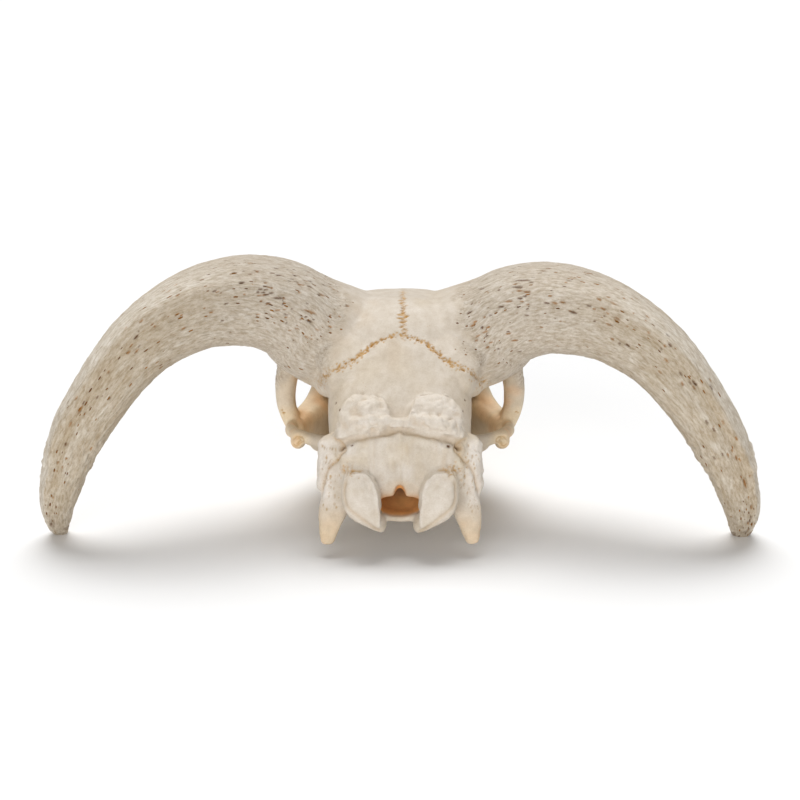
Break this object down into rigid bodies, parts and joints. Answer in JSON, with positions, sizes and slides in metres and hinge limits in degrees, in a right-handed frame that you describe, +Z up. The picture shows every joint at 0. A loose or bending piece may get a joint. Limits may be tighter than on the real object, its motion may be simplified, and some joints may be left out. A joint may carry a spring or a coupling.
{
  "type": "ram skull",
  "caption": "Dry skull of a horned ram with bare, down-curving horn cores, ringed eye sockets and upper cheek teeth, at rest without its lower jaw.",
  "frame": {"origin": "middle of the bounding box's underside, on the floor that the cheek teeth and the horn-core tips rest on", "axes": "+Z up; +Y towards the muzzle; +X towards the animal's right side, along the line between the horn cores"},
  "size_m": [0.3735, 0.2588, 0.1432],
  "materials": {
    "horn_core_bone": "dry, grooved and pitted horn-core bone, tan",
    "pale_bone": "dry matt bone, near white",
    "warm_bone": "dry matt bone, cream with brown stains",
    "jaw_bone": "dry matt bone, with ivory enamel and brown grooves on the teeth"
  },
  "bodies": {
    "root": {"horn_core_left": "horn_core_bone", "horn_core_right": "horn_core_bone", "occiput": "pale_bone", "braincase": "pale_bone", "frontal": "pale_bone", "cheek_left": "warm_bone", "cheek_right": "warm_bone", "upper_jaw": "jaw_bone", "nasal_bones": "warm_bone", "premaxilla_left": "warm_bone", "premaxilla_right": "warm_bone"}
  },
  "joints": []
}
